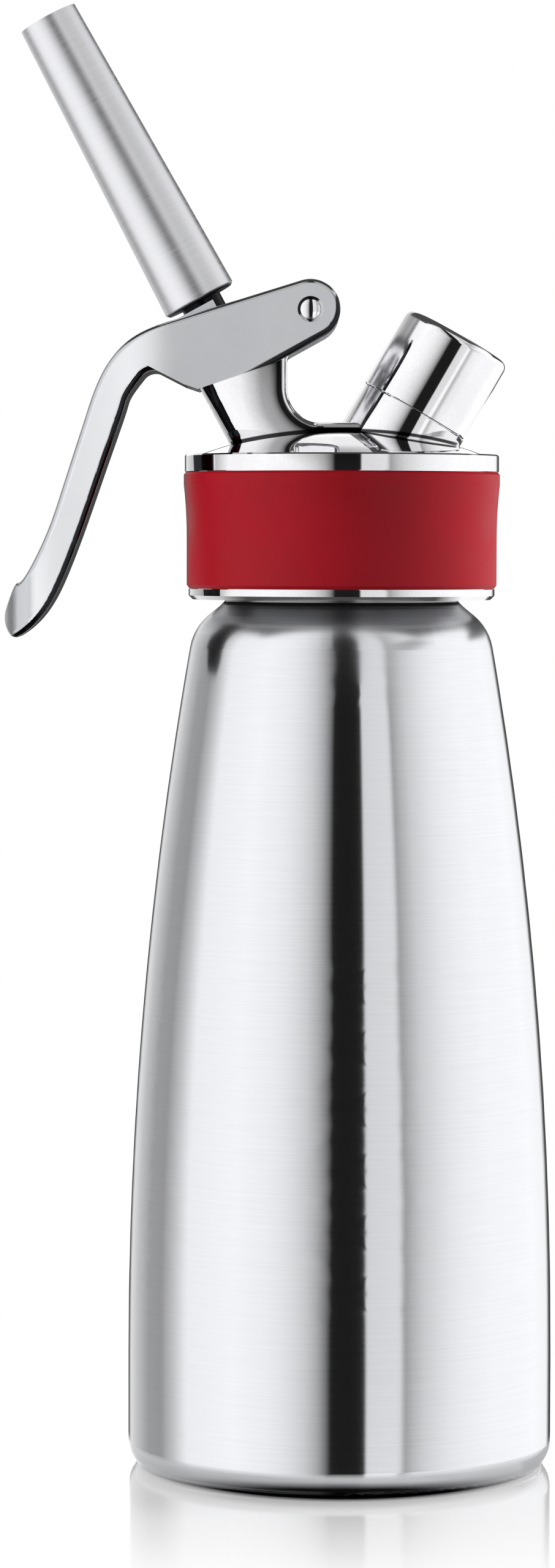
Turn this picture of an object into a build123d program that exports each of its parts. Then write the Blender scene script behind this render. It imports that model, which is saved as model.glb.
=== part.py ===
from build123d import *
from math import cos, radians, sin, tan
import os

# Whipped cream dispenser, in millimetres. The origin is at the centre of the
# bottle's contact ring, +Z is up, and the handle points to -X.
# "Below" along a leaning axis means deeper into the head.

os.makedirs("parts", exist_ok=True)

# ---- bottle
BODY_R = 42.5
BOTTLE_WALL = 1.0
FOOT_INNER_R = 34.0          # the contact ring runs from here ...
FOOT_OUTER_R = 40.2          # ... to here
FOOT_ROLL = 1.0              # small radius at the contact ring
FOOT_TOP = 4.8               # where the rounded foot meets the straight wall
BASE_DISH = 3.0              # depth of the dished base
TAPER_START = 22.0           # the straight wall ends here
TAPER_TOP = 164.0
TAPER_R = 832.0              # radius of the long curve of the wall
SHOULDER_R = 26.6            # where the rounded shoulder turns into a cone
SHOULDER_Z = 170.4
NECK_FOOT_R = 24.4
NECK_FOOT_Z = 172.2
NECK_R = 23.4                # root of the neck thread
NECK_Z = 173.2
RIM_Z = 194.8
RIM_ROLL = 0.5

# ---- head casting
HEAD_BOTTOM = 173.6
LOWER_RING_TOP = 175.7
LOWER_RING_R = 30.6
GROOVE_R = 29.0
UPPER_RING_BOTTOM = 199.1
UPPER_RING_TOP = 202.5
UPPER_RING_R = 31.4
DOME_FOOT_R = 28.2
DOME_TOP = 207.6
HEAD_BORE_R = 24.5           # crest of the head's thread
GASKET_CEILING = 197.3
CAVITY_R = 19.5
CAVITY_SIDE_TOP = 199.6
CAVITY_TOP = 201.8
RIDGE_TOP = 208.8            # ridge between tower and port
RIDGE_RIGHT = 8.0            # it ends inside the port
BORE_RUN_OUT = 25.0          # the bore's cut runs on this far below the head

# ---- grip band, between the two rings
BAND_GAP = 0.1
BAND_WAIST_R = 31.0
BAND_LIP_R = 31.6
BAND_LIP = 2.5               # the lip reaches this far down from the band's top
BAND_FLARE = 13.0            # and the band swells into it from here

# ---- tip axis: leans to the left of vertical, h = 0 at the base of the tip
TIP_LEAN = 28.5
TIP_BASE = (-28.28, 0.0, 233.03)
TIP_BASE_R = 7.5
TIP_MOUTH_R = 6.0
TIP_LENGTH = 63.8
TIP_WALL = 1.0
TIP_SOCKET_R = 4.35
TIP_SOCKET_DEPTH = 9.5
MOUTH_LAND = 8.0             # the bore is straight over this length at the mouth

TOWER_LEFT = 8.4             # the tower's flanks curve from this far left of the axis ...
TOWER_ROUND_X = 10.6         # ... to this far right of it, where they are full width
TOWER_END_X = 27.0           # beyond the arm and the ridge
TOWER_HALF = 8.6             # half its width
TOWER_TOP = -11.2
TOWER_BOTTOM = -46.0         # inside the head
SPRING_BORE_R = 5.9
SPRING_FLOOR = -20.6
BUSH_R = 4.5
BUSH_BOTTOM = -27.0
STEM_BORE_R = 3.9
OUTLET_R = 5.0
OUTLET_TOP = -36.0
SEAT_H = -41.0
SEAT_BOSS_R = 8.0
SEAT_BOSS_TOP = -34.0

NECK_RING_R = 4.2            # the stem's shoulder between tip and collar
STEM_R = 3.5
STEM_THREAD_R = 4.0
STEM_THREAD_TOP = 9.0
STEM_CHANNEL_R = 2.0
STEM_PORT_R = 1.2
STEM_PORT_H = -38.4
STEM_END_R = 2.5
STEM_END = -48.0
COLLAR_TOP = -4.5
COLLAR_BOTTOM = -6.7
COLLAR_R = 8.0
O_RING_R = 0.575
O_RING_H = -32.0
O_RING_GROOVE = 0.8          # depth of its groove in the stem
SPRING_WIRE_R = 0.5
SPRING_R = 4.75              # mean radius of the coil
SPRING_TURNS = 6
WASHER_THICK = 0.6
STEM_CLEARANCE = 0.05
POPPET_R = 7.0
POPPET_TOP = -42.2
POPPET_BOTTOM = -44.4
NUT_ACROSS_FLATS = 8.0
NUT_THICK = 2.6

# ---- lever
PIVOT = (-6.4, 0.0, 231.0)
PIN_R = 2.0
PIN_CLEARANCE = 0.06
PIN_DOME = 0.5
EAR_R = 6.0
EAR_SLOPE = radians(17.3)    # slope of the ears' top edge
EAR_OUTER = 13.0             # half width over the ears
EAR_INNER = 10.2             # half gap between the ears
ARM_END_R = 5.5
BOSS_R = 5.0                 # the boss stands proud of the arm on both sides
BOSS_HALF = 9.9
SCOOP_CENTRE = (-4.2, 215.6)  # centre of the round cut between arm and dome, in X and Z
SCOOP_SLOPE = radians(29.0)  # its upper edge climbs to the right, behind the ears' lower edge
SCOOP_CORNER_R = 2.5         # where that edge meets the upright side
SCOOP_REACH = 12.0           # it is open to the right
SCOOP_EDGE = 2.0             # rounding of its edges
FORK_TOP = -1.3
FORK_BOTTOM = -3.4           # at the noses
FORK_ROOT = -2.3             # at its root, clear of the collar's edge when squeezed
NOSE_R = 1.5
NOSE_X = 0.7
FORK_SLOT_R = 5.0
HANDLE_START = -33.8         # X where the ears end and the handle's curve begins
LEVER_FILLET = 1.2
EAR_TOP_EDGE = 232.0         # only the ears' top edges have their middle above this height
POCKET_TOP_X = 8.9           # the room between the ears reaches this far left of the tip axis ...
POCKET_WALL_X = 9.4
POCKET_LOW_X = 11.6          # ... and this far at its lower end
FORK_SLOT_X = -0.8
NOSE_GAP = 0.1

# ---- charger port axis: leans to the right, h = 0 at the top of the cap
PORT_LEAN = 30.0
CAP_TOP = (23.2, 0.0, 226.2)
CAP_R = 11.45
CAP_LENGTH = 17.4
CAP_BORE_R = 9.8
CAP_CEILING = -3.0
CAP_EDGE = 1.6
GRIP_TOP = -4.5              # the two flat grip recesses run from here to the cap's rim
GRIP_DEPTH = 0.9
GRIP_AZIMUTH = 195.0         # direction of the first recess round the cap, from its right side
STUB_R = 11.3
STUB_TOP = -17.6
STUB_BOTTOM = -31.0
SPIGOT_R = 9.4               # root of the port's thread
SPIGOT_TOP = -5.2
CUP_R = 6.2
CUP_FLOOR = -10.6
INSERT_R = 4.2
PORT_BOSS_R = 6.3
PORT_BOSS_TOP = -27.0
PORT_BOSS_BOTTOM = -31.0
TAIL_R = 2.5
TAIL_BOTTOM = -36.8
PIERCING_R = 1.2
PIERCING_TOP = -6.6
PIERCING_ROOT = -16.0
GAS_R = 0.8
SEAL_HEIGHT = 1.7

EPS = 0.01
OVERRUN = 1.0                # how far an outline runs past the edge that trims it


def leaning_section(base, lean):
    """The XZ plane with its origin at base and its height axis leaning toward +X by lean degrees."""
    a = radians(lean)
    return Plane(origin=base, x_dir=(cos(a), 0, -sin(a)), z_dir=(0, -1, 0))


TIP = leaning_section(TIP_BASE, -TIP_LEAN)
TIP_AXIS = Axis(TIP.origin, TIP.y_dir)
PORT = leaning_section(CAP_TOP, PORT_LEAN)
PORT_AXIS = Axis(PORT.origin, PORT.y_dir)


def tip_point(x, h):
    """A point of the tip's section, as (X, Z)."""
    point = TIP.from_local_coords((x, h, 0))
    return (point.X, point.Z)


def across(section, h):
    """The plane square to a section's height axis at height h, facing up that axis."""
    return Plane(origin=section.from_local_coords((0, h, 0)), x_dir=section.x_dir, z_dir=section.y_dir)


def half_section(plane, outline):
    """A closed half-section from (radius, height) points."""
    with BuildSketch(plane) as section:
        with BuildLine():
            Polyline(*outline, close=True)
        make_face()
    return section.sketch


def sleeve_outline(inner_r, outer_r, bottom, top):
    return [(inner_r, bottom), (outer_r, bottom), (outer_r, top), (inner_r, top)]


def ring(name, section, inner_r, outer_r, bottom, top, edge=0.0):
    """A plain ring or disc round a section's height axis, with softened edges."""
    axis = Axis(section.origin, section.y_dir)
    with BuildPart() as piece:
        revolve(half_section(section, sleeve_outline(inner_r, outer_r, bottom, top)), axis)
        if edge:
            chamfer(piece.edges().filter_by(GeomType.CIRCLE), edge)
    return finish(name, piece)


def finish(name, piece):
    """Label a finished piece and write it to its own file."""
    piece.part.label = name
    export_step(piece.part, f"parts/{name}.step")
    return piece


# ---- bottle: one thin wall, made by turning the outline and the same outline moved inward
with BuildPart() as bottle:
    for inset, mode in ((0.0, Mode.ADD), (BOTTLE_WALL, Mode.SUBTRACT)):
        with BuildSketch(Plane.XZ):
            with BuildLine():
                dish_centre = (0, BASE_DISH + inset)
                foot_in = (FOOT_INNER_R, inset)
                foot_out = (FOOT_OUTER_R, inset)
                roll_end = (FOOT_OUTER_R + FOOT_ROLL - inset, FOOT_ROLL + inset)
                wall_start = (BODY_R - inset, FOOT_TOP)
                wall_end = (BODY_R - inset, TAPER_START)
                taper_r = TAPER_R - inset
                TangentArc(dish_centre, foot_in, tangent=(1, 0))
                Line(foot_in, foot_out)
                TangentArc(foot_out, roll_end, tangent=(1, 0.3))
                TangentArc(wall_start, roll_end, tangent=(0, -1))
                Line(wall_start, wall_end)
                rise = TAPER_TOP - TAPER_START
                taper = CenterArc(
                    (BODY_R - TAPER_R, TAPER_START),
                    taper_r,
                    0,
                    Vector(1, 0).get_angle(Vector((TAPER_R**2 - rise**2) ** 0.5, rise)),
                )
                shoulder_end = (SHOULDER_R - inset, SHOULDER_Z - inset / 2)
                shoulder = TangentArc(taper @ 1, shoulder_end, tangent=taper % 1)
                neck_foot = (NECK_FOOT_R - inset, NECK_FOOT_Z - inset / 2)
                neck = (NECK_R - inset, NECK_Z)
                Line(shoulder @ 1, neck_foot)
                Line(neck_foot, neck)
                top = RIM_Z + inset
                Polyline(neck, (NECK_R - inset, top), (0, top), dish_centre)
            make_face()
        revolve(axis=Axis.Z, mode=mode)
    fillet(bottle.edges().filter_by(GeomType.CIRCLE).group_by(Axis.Z)[-1], RIM_ROLL - EPS)
finish("bottle", bottle)


# ---- head casting: first its tower, the arm for the lever's pin and the ridge, in one body
with BuildPart() as tower:
    arm_low = (PIVOT[0] + ARM_END_R * sin(SCOOP_SLOPE), PIVOT[2] - ARM_END_R * cos(SCOOP_SLOPE))
    scoop_r = SCOOP_CENTRE[1] - RIDGE_TOP
    scoop_x = SCOOP_CENTRE[0] - scoop_r
    scoop_corner = (scoop_x, arm_low[1] - (arm_low[0] - scoop_x) * tan(SCOOP_SLOPE))
    with BuildSketch(Plane.XZ) as arm_outline:
        with Locations((PIVOT[0], PIVOT[2])):
            Circle(ARM_END_R)
        with BuildLine():
            Polyline(tip_point(TOWER_ROUND_X, TOWER_TOP), arm_low, scoop_corner, close=True)
        make_face()
        make_hull()
    with BuildSketch(Plane.XZ.offset(-TOWER_HALF)):
        add(arm_outline.sketch_local)
        with BuildLine():
            Polyline(
                tip_point(-TOWER_LEFT - OVERRUN, TOWER_TOP),
                tip_point(TOWER_ROUND_X, TOWER_TOP),
                tip_point(TOWER_ROUND_X, SPRING_FLOOR),
                (RIDGE_RIGHT, SCOOP_CENTRE[1]),
                (RIDGE_RIGHT, CAVITY_TOP),
                tip_point(-TOWER_LEFT - OVERRUN, SEAT_BOSS_TOP),
                close=True,
            )
        make_face()
        # open side between arm, ridge and port
        with BuildLine():
            FilletPolyline(arm_low, scoop_corner, (scoop_x, SCOOP_CENTRE[1]), radius=SCOOP_CORNER_R)
            CenterArc(SCOOP_CENTRE, scoop_r, 180, 90)
            Polyline(
                (SCOOP_CENTRE[0], RIDGE_TOP),
                (SCOOP_REACH, RIDGE_TOP),
                (SCOOP_REACH, arm_low[1]),
                arm_low,
            )
        make_face(mode=Mode.SUBTRACT)
    extrude(amount=2 * TOWER_HALF)
    # one round edge on each side, along the ridge, up the open side and round the arm
    round_edges = tower.edges().filter_by(GeomType.CIRCLE)
    fillet(round_edges.filter_by(lambda e: abs(e.radius - scoop_r) < EPS), SCOOP_EDGE)

    # flanks that curve to a narrow left side
    with BuildSketch(across(TIP, 0)):
        with BuildLine():
            flank = EllipticalCenterArc(
                (TOWER_ROUND_X, 0),
                TOWER_ROUND_X + TOWER_LEFT,
                TOWER_HALF,
                start_angle=90,
                arc_size=180,
            )
            Polyline(flank @ 1, (TOWER_END_X, -TOWER_HALF), (TOWER_END_X, TOWER_HALF), flank @ 0)
        make_face()
    extrude(amount=TOWER_BOTTOM, mode=Mode.INTERSECT)

with BuildPart() as head_casting:
    # skirt, rings and dome, still solid
    with BuildSketch(Plane.XZ):
        with BuildLine():
            Polyline(
                (0, DOME_TOP),
                (0, HEAD_BOTTOM),
                (LOWER_RING_R - 0.8, HEAD_BOTTOM),
                (LOWER_RING_R, HEAD_BOTTOM + 0.8),
                (LOWER_RING_R, LOWER_RING_TOP),
                (GROOVE_R, LOWER_RING_TOP),
                (GROOVE_R, UPPER_RING_BOTTOM),
                (UPPER_RING_R, UPPER_RING_BOTTOM),
                (UPPER_RING_R, UPPER_RING_TOP - 0.3),
                (UPPER_RING_R - 0.3, UPPER_RING_TOP),
                (DOME_FOOT_R, UPPER_RING_TOP),
            )
            TangentArc((0, DOME_TOP), (DOME_FOOT_R, UPPER_RING_TOP), tangent=(1, 0))
        make_face()
    revolve(axis=Axis.Z)
    add(tower.part)

    # boss for the lever's pin, wider than the arm
    with BuildSketch(Plane.XZ):
        with Locations((PIVOT[0], PIVOT[2])):
            Circle(BOSS_R)
    extrude(amount=BOSS_HALF, both=True)

    # charger port, with the spigot that the cap screws on
    for radius, top in ((STUB_R, STUB_TOP), (SPIGOT_R, SPIGOT_TOP)):
        with BuildSketch(across(PORT, top)):
            Circle(radius)
        extrude(amount=STUB_BOTTOM - top)

    # hollow for the bottle's neck, the gasket and the cream
    with BuildSketch(Plane.XZ):
        with BuildLine():
            Polyline(
                (0, CAVITY_TOP),
                (0, HEAD_BOTTOM - BORE_RUN_OUT),
                (HEAD_BORE_R, HEAD_BOTTOM - BORE_RUN_OUT),
                (HEAD_BORE_R, GASKET_CEILING),
                (CAVITY_R, GASKET_CEILING),
                (CAVITY_R, CAVITY_SIDE_TOP),
            )
            TangentArc((0, CAVITY_TOP), (CAVITY_R, CAVITY_SIDE_TOP), tangent=(1, 0))
        make_face()
    revolve(axis=Axis.Z, mode=Mode.SUBTRACT)

    # bosses inside the head
    for section, radius, top, bottom in (
        (TIP, SEAT_BOSS_R, SEAT_BOSS_TOP, SEAT_H),
        (PORT, PORT_BOSS_R, PORT_BOSS_TOP, PORT_BOSS_BOTTOM),
    ):
        with BuildSketch(across(section, top)):
            Circle(radius)
        extrude(amount=bottom - top)

    # bores along the tip axis, from the tower's top down to the valve seat
    for radius, top, bottom in (
        (SPRING_BORE_R, TOWER_TOP + 1, SPRING_FLOOR),
        (BUSH_R, SPRING_FLOOR + 1, BUSH_BOTTOM),
        (STEM_BORE_R, BUSH_BOTTOM + 1, OUTLET_TOP),
        (OUTLET_R, OUTLET_TOP, SEAT_H - 1),
    ):
        with BuildSketch(across(TIP, top)):
            Circle(radius)
        extrude(amount=bottom - top, mode=Mode.SUBTRACT)

    # cup and bore along the port axis
    for radius, top, bottom in (
        (CUP_R, SPIGOT_TOP + 1, CUP_FLOOR),
        (INSERT_R, CUP_FLOOR + 1, PORT_BOSS_BOTTOM - 1),
    ):
        with BuildSketch(across(PORT, top)):
            Circle(radius)
        extrude(amount=bottom - top, mode=Mode.SUBTRACT)

    # hole for the lever's pin
    with BuildSketch(Plane.XZ):
        with Locations((PIVOT[0], PIVOT[2])):
            Circle(PIN_R)
    extrude(amount=EAR_OUTER, both=True, mode=Mode.SUBTRACT)
finish("head_casting", head_casting)

# ---- grip band: flush with the upper ring at its top, slimmer below
with BuildPart() as grip_band:
    with BuildSketch(Plane.XZ):
        with BuildLine():
            low = LOWER_RING_TOP + BAND_GAP
            high = UPPER_RING_BOTTOM - BAND_GAP
            flare_low = (BAND_WAIST_R, high - BAND_FLARE)
            flare_high = (BAND_LIP_R, high - BAND_LIP)
            Polyline(
                flare_low,
                (BAND_WAIST_R, low + 0.7),
                (BAND_WAIST_R - 0.5, low),
                (GROOVE_R, low),
                (GROOVE_R, high),
                (BAND_LIP_R - 0.4, high),
                (BAND_LIP_R, high - 0.5),
                flare_high,
            )
            TangentArc(flare_low, flare_high, tangent=(0, 1))
        make_face()
    revolve(axis=Axis.Z)
finish("grip_band", grip_band)

# ---- head gasket, with its pull tab
with BuildPart() as head_gasket:
    with BuildSketch(Plane.XY.offset(RIM_Z + 0.3)):
        Circle(HEAD_BORE_R - 0.2)
        Circle(CAVITY_R + 0.4, mode=Mode.SUBTRACT)
        with Locations((0, -(CAVITY_R - 0.2))):
            RectangleRounded(7.0, 5.0, 1.2)
    extrude(amount=GASKET_CEILING - RIM_Z - 0.3)
finish("head_gasket", head_gasket)

# ---- lever pivot pin, with domed ends
with BuildPart() as lever_pivot_pin:
    pin_axis = Axis(PIVOT, (0, 1, 0))
    with BuildSketch(Plane(origin=PIVOT, x_dir=(1, 0, 0), z_dir=(0, 0, 1))):
        with BuildLine():
            shoulder_y = EAR_OUTER - PIN_DOME
            Polyline((0, -EAR_OUTER), (0, EAR_OUTER))
            TangentArc((0, EAR_OUTER), (PIN_R, shoulder_y), tangent=(1, 0))
            Line((PIN_R, shoulder_y), (PIN_R, -shoulder_y))
            TangentArc((0, -EAR_OUTER), (PIN_R, -shoulder_y), tangent=(1, 0))
        make_face()
    revolve(axis=pin_axis)
finish("lever_pivot_pin", lever_pivot_pin)

# ---- lever: side outline cut to the plan outline, then opened between the ears
with BuildPart() as lever:
    blank_half = EAR_OUTER + 2
    down_slope = (-cos(EAR_SLOPE), -sin(EAR_SLOPE))
    ear_high = (PIVOT[0] - EAR_R * sin(EAR_SLOPE), PIVOT[2] + EAR_R * cos(EAR_SLOPE))
    ear_low = (-3.3, 226.0)
    crown_start = (HANDLE_START, ear_high[1] - (ear_high[0] - HANDLE_START) * tan(EAR_SLOPE))
    with BuildSketch(Plane.XZ.offset(-blank_half)):
        with BuildLine():
            crown = Spline(
                crown_start,
                (-42.2, 225.0),
                (-47.3, 219.0),
                (-51.0, 209.6),
                (-55.6, 195.4),
                (-59.7, 184.3),
                (-64.0, 177.0),
                (-67.0, 171.6),
                tangents=(down_slope, (-0.35, -1)),
            )
            heel = TangentArc(crown @ 1, (-66.2, 166.6), tangent=crown % 1)
            toe = TangentArc(heel @ 1, (-64.0, 166.2), tangent=heel % 1)
            palm = Spline(
                toe @ 1,
                (-58.4, 171.7),
                (-54.9, 178.6),
                (-50.6, 190.0),
                (-46.6, 201.6),
                (-43.0, 212.2),
                (-39.6, 217.8),
                tangents=(toe % 1, (0.62, 0.78)),
            )
            throat = TangentArc(palm @ 1, (-36.4, 218.7), tangent=palm % 1)
            Polyline(throat @ 1, (-31.3, 216.1), (-28.6, 215.2), (-13.2, 220.5), ear_low)
            Line(ear_high, crown_start)
            TangentArc(ear_high, ear_low, tangent=(cos(EAR_SLOPE), sin(EAR_SLOPE)))
        make_face()
    extrude(amount=2 * blank_half)
    # width seen from above: full over the ears, slimmer down the handle, round at the toe
    with BuildSketch(Plane.XY.offset(150)):
        with BuildLine():
            side = Spline(
                (HANDLE_START, EAR_OUTER),
                (-43, 11.6),
                (-55, 10.4),
                (-63, 8.8),
                (-67.6, 0),
                tangents=((-1, 0), (0, -1)),
            )
            back = Line((HANDLE_START, EAR_OUTER), (5, EAR_OUTER))
            mirror(about=Plane.XZ)
            Line((5, EAR_OUTER), (5, -EAR_OUTER))
        make_face()
    extrude(amount=100, mode=Mode.INTERSECT)
    # one soft edge runs from the ears over the crown, round the toe and up the palm
    straight = lever.edges().filter_by(GeomType.LINE)
    fillet(
        straight.filter_by(lambda e: e.center().Z > EAR_TOP_EDGE and abs(e.center().Y) > EAR_INNER),
        LEVER_FILLET,
    )

    # room between the ears for the tower, the collar and the base of the tip
    with BuildSketch(TIP):
        with BuildLine():
            Polyline(
                (-POCKET_TOP_X, 20),
                (-POCKET_TOP_X, FORK_TOP),
                (-POCKET_WALL_X, FORK_TOP - 0.5),
                (-POCKET_LOW_X, -22),
                (30, -22),
                (30, 20),
                close=True,
            )
        make_face()
    extrude(amount=EAR_INNER, both=True, mode=Mode.SUBTRACT)

    # fork between the ears: a plate with a slot for the stem and two rounded noses
    with BuildSketch(TIP):
        with BuildLine():
            Polyline(
                (-POCKET_LOW_X, FORK_TOP),
                (-POCKET_LOW_X, FORK_ROOT - 2),
                (-POCKET_WALL_X + 1, FORK_ROOT),
                (NOSE_X - NOSE_R, FORK_BOTTOM),
                (NOSE_X + NOSE_R, FORK_BOTTOM),
                (NOSE_X + NOSE_R, FORK_TOP),
                close=True,
            )
        make_face()
        with Locations((NOSE_X, COLLAR_TOP + NOSE_GAP + NOSE_R)):
            Circle(NOSE_R)
    extrude(amount=EAR_INNER + EPS, both=True)
    with BuildSketch(across(TIP, 0)):
        with Locations((FORK_SLOT_X, 0)):
            Circle(FORK_SLOT_R)
        with Locations((FORK_SLOT_X + 5, 0)):
            Rectangle(10, 2 * FORK_SLOT_R)
    extrude(amount=COLLAR_TOP, mode=Mode.SUBTRACT)

    # pivot holes, with a countersink on the outer face of each ear
    for side in (-1, 1):
        with Locations(Plane(origin=(PIVOT[0], side * EAR_OUTER, PIVOT[2]), z_dir=(0, side, 0))):
            CounterSinkHole(
                PIN_R + PIN_CLEARANCE,
                PIN_R + PIN_CLEARANCE + 0.5,
                depth=EAR_OUTER - EAR_INNER + EPS,
                counter_sink_angle=90,
            )
finish("lever", lever)

# ---- decorator tip: a long taper with a threaded socket at its base
with BuildPart() as decorator_tip:
    revolve(
        half_section(
            TIP,
            [
                (TIP_SOCKET_R + 0.4, 0),
                (TIP_BASE_R - 0.6, 0),
                (TIP_BASE_R, 0.6),
                (TIP_MOUTH_R, TIP_LENGTH),
                (TIP_MOUTH_R - TIP_WALL, TIP_LENGTH),
                (TIP_MOUTH_R - TIP_WALL, TIP_LENGTH - MOUTH_LAND),
                (TIP_BASE_R - 1.5 * TIP_WALL, TIP_SOCKET_DEPTH + 1.5),
                (TIP_SOCKET_R, TIP_SOCKET_DEPTH),
                (TIP_SOCKET_R, 0.4),
            ],
        ),
        TIP_AXIS,
    )
finish("decorator_tip", decorator_tip)
seal_low = STEM_THREAD_TOP + 0.02
ring("tip_seal", TIP, STEM_CHANNEL_R + 0.6, STEM_THREAD_R - 0.2, seal_low, seal_low + 1.18, 0.2)

# ---- valve stem: hollow, threaded for the tip, closed at its lower end
with BuildPart() as valve_stem:
    revolve(
        half_section(
            TIP,
            [
                (0, STEM_END),
                (STEM_END_R, STEM_END),
                (STEM_END_R, POPPET_TOP),
                (STEM_R, POPPET_TOP),
                (STEM_R, O_RING_H - O_RING_R - 0.1),
                (STEM_R - O_RING_GROOVE, O_RING_H - O_RING_R - 0.1),
                (STEM_R - O_RING_GROOVE, O_RING_H + O_RING_R + 0.1),
                (STEM_R, O_RING_H + O_RING_R + 0.1),
                (STEM_R, COLLAR_TOP),
                (NECK_RING_R, COLLAR_TOP),
                (NECK_RING_R, -0.05),
                (STEM_THREAD_R - 0.3, -0.05),
                (STEM_THREAD_R, 0.3),
                (STEM_THREAD_R, STEM_THREAD_TOP - 0.5),
                (STEM_THREAD_R - 0.5, STEM_THREAD_TOP),
                (STEM_CHANNEL_R, STEM_THREAD_TOP),
                (STEM_CHANNEL_R, STEM_PORT_H - 1.5),
                (0, STEM_PORT_H - 2.5),
            ],
        ),
        TIP_AXIS,
    )
    for x_dir in (TIP.x_dir, Vector(0, 1, 0)):
        cut = Plane(origin=TIP.from_local_coords((0, STEM_PORT_H, 0)), z_dir=x_dir)
        with BuildSketch(cut):
            Circle(STEM_PORT_R)
        extrude(amount=STEM_R + 1, both=True, mode=Mode.SUBTRACT)
finish("valve_stem", valve_stem)

# ---- rings and small pieces on the tip axis
ring("press_collar", TIP, STEM_R + EPS, COLLAR_R, COLLAR_BOTTOM, COLLAR_TOP - EPS, 0.3)
washer_top = SPRING_FLOOR + WASHER_THICK
ring("spring_washer", TIP, STEM_R + 0.3, SPRING_BORE_R - 0.1, SPRING_FLOOR + EPS, washer_top, 0.1)
bush_bore_r = STEM_R + STEM_CLEARANCE
ring("stem_guide_bush", TIP, bush_bore_r, BUSH_R - EPS, BUSH_BOTTOM + EPS, SPRING_FLOOR - EPS, 0.2)
ring("poppet_seal", TIP, STEM_R + 0.2, POPPET_R - 0.2, POPPET_TOP + EPS, SEAT_H - 0.1, 0.2)
ring("valve_poppet", TIP, STEM_END_R + EPS, POPPET_R, POPPET_BOTTOM, POPPET_TOP - EPS, 0.3)

with BuildPart() as poppet_nut:
    with BuildSketch(across(TIP, POPPET_BOTTOM - EPS)):
        RegularPolygon(NUT_ACROSS_FLATS / 2, 6, major_radius=False)
        Circle(STEM_END_R + EPS, mode=Mode.SUBTRACT)
    extrude(amount=-NUT_THICK)
finish("poppet_nut", poppet_nut)

with BuildPart() as stem_o_ring:
    with BuildSketch(TIP):
        with Locations((STEM_R - O_RING_GROOVE + O_RING_R, O_RING_H)):
            Circle(O_RING_R)
    revolve(axis=TIP_AXIS)
finish("stem_o_ring", stem_o_ring)

# ---- valve spring, between its washer and the collar
with BuildPart() as valve_spring:
    spring_low = washer_top + SPRING_WIRE_R + EPS
    spring_height = COLLAR_BOTTOM - SPRING_WIRE_R - EPS - spring_low
    with BuildLine():
        coil = Helix(
            pitch=spring_height / SPRING_TURNS,
            height=spring_height,
            radius=SPRING_R,
            center=TIP.from_local_coords((0, spring_low, 0)),
            direction=TIP.y_dir,
        )
    with BuildSketch(Plane(origin=coil @ 0, z_dir=coil % 0)):
        Circle(SPRING_WIRE_R)
    sweep(is_frenet=True)
finish("valve_spring", valve_spring)

# ---- protective cap, with two flat grip recesses
with BuildPart() as port_cap:
    with BuildSketch(across(PORT, 0)):
        Circle(CAP_R)
    extrude(amount=-CAP_LENGTH)
    fillet(port_cap.edges().filter_by(GeomType.CIRCLE).sort_by(PORT_AXIS)[-1], CAP_EDGE)
    with BuildSketch(across(PORT, CAP_CEILING)):
        Circle(CAP_BORE_R)
    extrude(amount=-CAP_LENGTH, mode=Mode.SUBTRACT)
    chamfer(port_cap.edges().filter_by(GeomType.CIRCLE).group_by(PORT_AXIS)[0], 0.25)
    for turn in (GRIP_AZIMUTH, GRIP_AZIMUTH + 180):
        outward = across(PORT, 0).rotated((0, 0, turn)).x_dir
        flat = Plane(
            origin=PORT.from_local_coords((0, 0, 0)) + outward * (CAP_R - GRIP_DEPTH),
            x_dir=outward.cross(PORT.y_dir) * -1,
            z_dir=outward,
        )
        half_chord = (CAP_R**2 - (CAP_R - GRIP_DEPTH) ** 2) ** 0.5
        with BuildSketch(flat):
            with Locations((0, GRIP_TOP - half_chord)):
                Circle(half_chord)
            with Locations((0, GRIP_TOP - half_chord - CAP_LENGTH / 2)):
                Rectangle(2 * half_chord + 2, CAP_LENGTH)
        extrude(amount=2 * GRIP_DEPTH, mode=Mode.SUBTRACT)
finish("port_cap", port_cap)
ring("cap_liner", PORT, 0, CAP_BORE_R - 0.3, CAP_CEILING - 1.6, CAP_CEILING - EPS, 0.2)

# ---- pieces inside the charger port
ring("charger_seal", PORT, PIERCING_R + 1.8, CUP_R - 0.1, CUP_FLOOR + EPS, CUP_FLOOR + SEAL_HEIGHT, 0.3)
ring("non_return_sleeve", PORT, TAIL_R + EPS, TAIL_R + 1.0, TAIL_BOTTOM + 0.4, PORT_BOSS_BOTTOM - 0.3, 0.15)

with BuildPart() as piercing_insert:
    revolve(
        half_section(
            PORT,
            [
                (PIERCING_R + EPS, CUP_FLOOR),
                (INSERT_R - EPS, CUP_FLOOR),
                (INSERT_R - EPS, PORT_BOSS_BOTTOM),
                (TAIL_R, PORT_BOSS_BOTTOM - 0.1),
                (TAIL_R, TAIL_BOTTOM),
                (0, TAIL_BOTTOM),
                (0, TAIL_BOTTOM + 2),
                (GAS_R, TAIL_BOTTOM + 2),
                (GAS_R, PIERCING_ROOT),
                (PIERCING_R + EPS, PIERCING_ROOT),
            ],
        ),
        PORT_AXIS,
    )
    outlet = PORT.from_local_coords((0, TAIL_BOTTOM + 2.6, 0))
    with BuildSketch(Plane(origin=outlet, z_dir=(0, 1, 0))):
        Circle(GAS_R / 2)
    extrude(amount=TAIL_R + 1, both=True, mode=Mode.SUBTRACT)
finish("piercing_insert", piercing_insert)

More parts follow.
